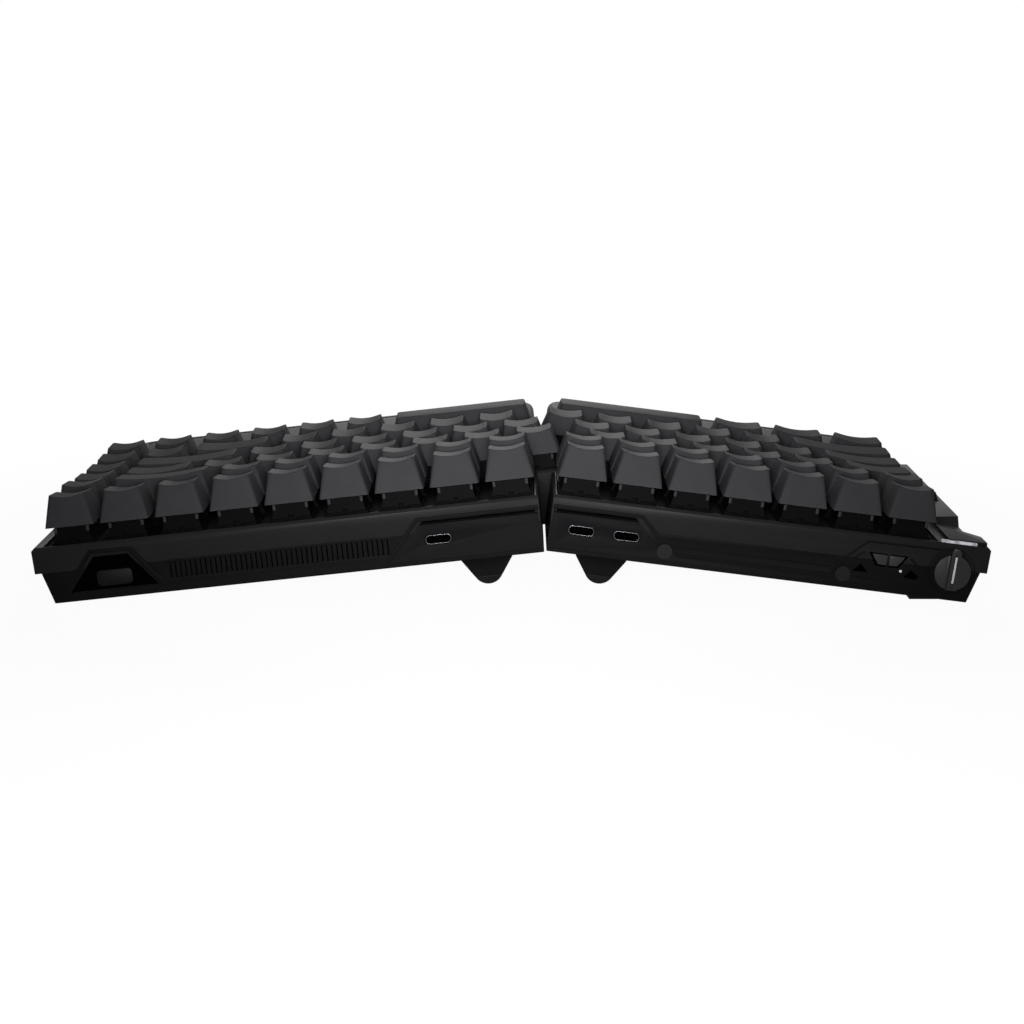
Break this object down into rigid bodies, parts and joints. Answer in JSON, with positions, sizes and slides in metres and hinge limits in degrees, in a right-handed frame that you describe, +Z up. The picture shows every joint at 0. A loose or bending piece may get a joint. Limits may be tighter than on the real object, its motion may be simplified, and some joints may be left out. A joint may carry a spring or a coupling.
{
  "type": "ergonomic split keyboard",
  "caption": "Split mechanical keyboard in two tented halves with floating keycaps, fold-out feet, palm rests, a rear mode dial and a side control rail.",
  "frame": {"origin": "middle of the keyboard's footprint, on the desk", "axes": "+X to the typist's right, +Y away from the typist to the rear wall with the sockets, +Z up"},
  "size_m": [0.3294, 0.1924, 0.0556],
  "materials": {
    "badge_metal": "dark anodised",
    "battery_foil": "foil",
    "board": "solder mask",
    "case_plastic": "fine moulded texture",
    "clear_plastic": "frosted",
    "dial_plastic": "satin",
    "grip_rubber": "matt",
    "keycap_plastic": "fine moulded texture",
    "pad_rubber": "soft matt",
    "plate_steel": "black powder coat",
    "rim_plastic": "satin",
    "screw_steel": "black zinc",
    "socket_steel": "drawn",
    "switch_plastic": "moulded"
  },
  "bodies": {
    "left_half": {"left_battery": "battery_foil", "left_bottom_case": "case_plastic", "left_case_screws": "screw_steel", "left_circuit_board": "board", "left_light_bar": "clear_plastic", "left_palm_pad": "pad_rubber", "left_palm_rest_base": "case_plastic", "left_rubber_pads": "grip_rubber", "left_side_rail": "rim_plastic", "left_stabilizers": "switch_plastic", "left_switch_housings": "switch_plastic", "left_switch_plate": "plate_steel", "left_top_frame": "rim_plastic", "left_usb_sockets": "socket_steel"},
    "right_half": {"right_bottom_case": "case_plastic", "right_case_screws": "screw_steel", "right_circuit_board": "board", "right_palm_pad": "pad_rubber", "right_palm_rest_base": "case_plastic", "right_rear_badge": "badge_metal", "right_rubber_pads": "grip_rubber", "right_stabilizers": "switch_plastic", "right_switch_housings": "switch_plastic", "right_switch_plate": "plate_steel", "right_top_frame": "rim_plastic", "right_usb_sockets": "socket_steel"},
    "left_function_keys": {"left_function_keys": "keycap_plastic"},
    "left_number_keys": {"left_number_keys": "keycap_plastic"},
    "left_top_letter_keys": {"left_top_letter_keys": "keycap_plastic"},
    "tab_key": {"tab_key": "keycap_plastic"},
    "left_home_letter_keys": {"left_home_letter_keys": "keycap_plastic"},
    "caps_lock_key": {"caps_lock_key": "keycap_plastic"},
    "left_bottom_letter_keys": {"left_bottom_letter_keys": "keycap_plastic"},
    "left_shift_key": {"left_shift_key": "keycap_plastic"},
    "left_space_key": {"left_space_key": "keycap_plastic"},
    "left_modifier_keys": {"left_modifier_keys": "keycap_plastic"},
    "right_function_keys": {"right_function_keys": "keycap_plastic"},
    "right_number_keys": {"right_number_keys": "keycap_plastic"},
    "backspace_key": {"backspace_key": "keycap_plastic"},
    "page_keys": {"page_keys": "keycap_plastic"},
    "right_top_letter_keys": {"right_top_letter_keys": "keycap_plastic"},
    "backslash_key": {"backslash_key": "keycap_plastic"},
    "right_home_letter_keys": {"right_home_letter_keys": "keycap_plastic"},
    "enter_key": {"enter_key": "keycap_plastic"},
    "right_bottom_letter_keys": {"right_bottom_letter_keys": "keycap_plastic"},
    "right_shift_key": {"right_shift_key": "keycap_plastic"},
    "arrow_keys": {"arrow_keys": "keycap_plastic"},
    "right_space_key": {"right_space_key": "keycap_plastic"},
    "right_modifier_keys": {"right_modifier_keys": "keycap_plastic"},
    "mode_dial": {"mode_dial": "dial_plastic"},
    "control_wheel": {"control_wheel": "grip_rubber"},
    "control_button": {"control_button": "keycap_plastic"},
    "left_rear_foot": {"left_rear_foot": "case_plastic", "left_rear_foot_tip": "grip_rubber"},
    "left_front_foot": {"left_front_foot": "case_plastic", "left_front_foot_tip": "grip_rubber"},
    "right_rear_foot": {"right_rear_foot": "case_plastic", "right_rear_foot_tip": "grip_rubber"},
    "right_front_foot": {"right_front_foot": "case_plastic", "right_front_foot_tip": "grip_rubber"}
  },
  "joints": [
    {"name": "left_function_keys_press", "type": "slide", "parent": "left_half", "child": "left_function_keys", "axis": [0.1252, 0, -0.9921], "range_m": [0, 0.0035], "stiffness_N_per_m": 630, "springref_m": -0.004},
    {"name": "left_number_keys_press", "type": "slide", "parent": "left_half", "child": "left_number_keys", "axis": [0.1252, 0, -0.9921], "range_m": [0, 0.0035], "stiffness_N_per_m": 630, "springref_m": -0.004},
    {"name": "left_top_letter_keys_press", "type": "slide", "parent": "left_half", "child": "left_top_letter_keys", "axis": [0.1252, 0, -0.9921], "range_m": [0, 0.0035], "stiffness_N_per_m": 450, "springref_m": -0.004},
    {"name": "tab_key_press", "type": "slide", "parent": "left_half", "child": "tab_key", "axis": [0.1252, 0, -0.9921], "range_m": [0, 0.0035], "stiffness_N_per_m": 90, "springref_m": -0.004},
    {"name": "left_home_letter_keys_press", "type": "slide", "parent": "left_half", "child": "left_home_letter_keys", "axis": [0.1252, 0, -0.9921], "range_m": [0, 0.0035], "stiffness_N_per_m": 450, "springref_m": -0.004},
    {"name": "caps_lock_key_press", "type": "slide", "parent": "left_half", "child": "caps_lock_key", "axis": [0.1252, 0, -0.9921], "range_m": [0, 0.0035], "stiffness_N_per_m": 90, "springref_m": -0.004},
    {"name": "left_bottom_letter_keys_press", "type": "slide", "parent": "left_half", "child": "left_bottom_letter_keys", "axis": [0.1252, 0, -0.9921], "range_m": [0, 0.0035], "stiffness_N_per_m": 450, "springref_m": -0.004},
    {"name": "left_shift_key_press", "type": "slide", "parent": "left_half", "child": "left_shift_key", "axis": [0.1252, 0, -0.9921], "range_m": [0, 0.0035], "stiffness_N_per_m": 90, "springref_m": -0.004},
    {"name": "left_space_key_press", "type": "slide", "parent": "left_half", "child": "left_space_key", "axis": [0.1252, 0, -0.9921], "range_m": [0, 0.0035], "stiffness_N_per_m": 90, "springref_m": -0.004},
    {"name": "left_modifier_keys_press", "type": "slide", "parent": "left_half", "child": "left_modifier_keys", "axis": [0.1252, 0, -0.9921], "range_m": [0, 0.0035], "stiffness_N_per_m": 270, "springref_m": -0.004},
    {"name": "right_function_keys_press", "type": "slide", "parent": "right_half", "child": "right_function_keys", "axis": [-0.1094, 0, -0.994], "range_m": [0, 0.0035], "stiffness_N_per_m": 810, "springref_m": -0.004},
    {"name": "right_number_keys_press", "type": "slide", "parent": "right_half", "child": "right_number_keys", "axis": [-0.1094, 0, -0.994], "range_m": [0, 0.0035], "stiffness_N_per_m": 540, "springref_m": -0.004},
    {"name": "backspace_key_press", "type": "slide", "parent": "right_half", "child": "backspace_key", "axis": [-0.1094, 0, -0.994], "range_m": [0, 0.0035], "stiffness_N_per_m": 90, "springref_m": -0.004},
    {"name": "page_keys_press", "type": "slide", "parent": "right_half", "child": "page_keys", "axis": [-0.1094, 0, -0.994], "range_m": [0, 0.0035], "stiffness_N_per_m": 360, "springref_m": -0.004},
    {"name": "right_top_letter_keys_press", "type": "slide", "parent": "right_half", "child": "right_top_letter_keys", "axis": [-0.1094, 0, -0.994], "range_m": [0, 0.0035], "stiffness_N_per_m": 630, "springref_m": -0.004},
    {"name": "backslash_key_press", "type": "slide", "parent": "right_half", "child": "backslash_key", "axis": [-0.1094, 0, -0.994], "range_m": [0, 0.0035], "stiffness_N_per_m": 90, "springref_m": -0.004},
    {"name": "right_home_letter_keys_press", "type": "slide", "parent": "right_half", "child": "right_home_letter_keys", "axis": [-0.1094, 0, -0.994], "range_m": [0, 0.0035], "stiffness_N_per_m": 540, "springref_m": -0.004},
    {"name": "enter_key_press", "type": "slide", "parent": "right_half", "child": "enter_key", "axis": [-0.1094, 0, -0.994], "range_m": [0, 0.0035], "stiffness_N_per_m": 90, "springref_m": -0.004},
    {"name": "right_bottom_letter_keys_press", "type": "slide", "parent": "right_half", "child": "right_bottom_letter_keys", "axis": [-0.1094, 0, -0.994], "range_m": [0, 0.0035], "stiffness_N_per_m": 450, "springref_m": -0.004},
    {"name": "right_shift_key_press", "type": "slide", "parent": "right_half", "child": "right_shift_key", "axis": [-0.1094, 0, -0.994], "range_m": [0, 0.0035], "stiffness_N_per_m": 90, "springref_m": -0.004},
    {"name": "arrow_keys_press", "type": "slide", "parent": "right_half", "child": "arrow_keys", "axis": [-0.1094, 0, -0.994], "range_m": [0, 0.0035], "stiffness_N_per_m": 360, "springref_m": -0.004},
    {"name": "right_space_key_press", "type": "slide", "parent": "right_half", "child": "right_space_key", "axis": [-0.1094, 0, -0.994], "range_m": [0, 0.0035], "stiffness_N_per_m": 90, "springref_m": -0.004},
    {"name": "right_modifier_keys_press", "type": "slide", "parent": "right_half", "child": "right_modifier_keys", "axis": [-0.1094, 0, -0.994], "range_m": [0, 0.0035], "stiffness_N_per_m": 270, "springref_m": -0.004},
    {"name": "halves_apart", "type": "slide", "parent": "left_half", "child": "right_half", "axis": [1, 0, 0], "range_m": [0, 0.08]},
    {"name": "mode_dial_turn", "type": "hinge", "parent": "left_half", "child": "mode_dial", "pos_m": [-0.15143, 0.09245, 0.01207], "axis": [0, 1, 0], "range_deg": [-35, 35]},
    {"name": "control_wheel_spin", "type": "hinge", "parent": "left_half", "child": "control_wheel", "pos_m": [-0.15444, 0.03445, 0.02117], "axis": [0.9921, 0, 0.1252], "continuous": true},
    {"name": "control_button_press", "type": "slide", "parent": "left_half", "child": "control_button", "axis": [0.1252, 0, -0.9921], "range_m": [0, 0.0008], "stiffness_N_per_m": 600, "springref_m": -0.001},
    {"name": "left_rear_foot_fold", "type": "hinge", "parent": "left_half", "child": "left_rear_foot", "pos_m": [-0.03358, 0.06215, 0.01988], "axis": [-0.9921, 0, -0.1252], "range_deg": [0, 90]},
    {"name": "left_front_foot_fold", "type": "hinge", "parent": "left_half", "child": "left_front_foot", "pos_m": [-0.03358, -0.00955, 0.01988], "axis": [0.9921, 0, 0.1252], "range_deg": [0, 90]},
    {"name": "right_rear_foot_fold", "type": "hinge", "parent": "right_half", "child": "right_rear_foot", "pos_m": [0.00978, 0.06215, 0.01985], "axis": [-0.994, 0, 0.1094], "range_deg": [0, 90]},
    {"name": "right_front_foot_fold", "type": "hinge", "parent": "right_half", "child": "right_front_foot", "pos_m": [0.00978, -0.00955, 0.01985], "axis": [0.994, 0, -0.1094], "range_deg": [0, 90]}
  ]
}
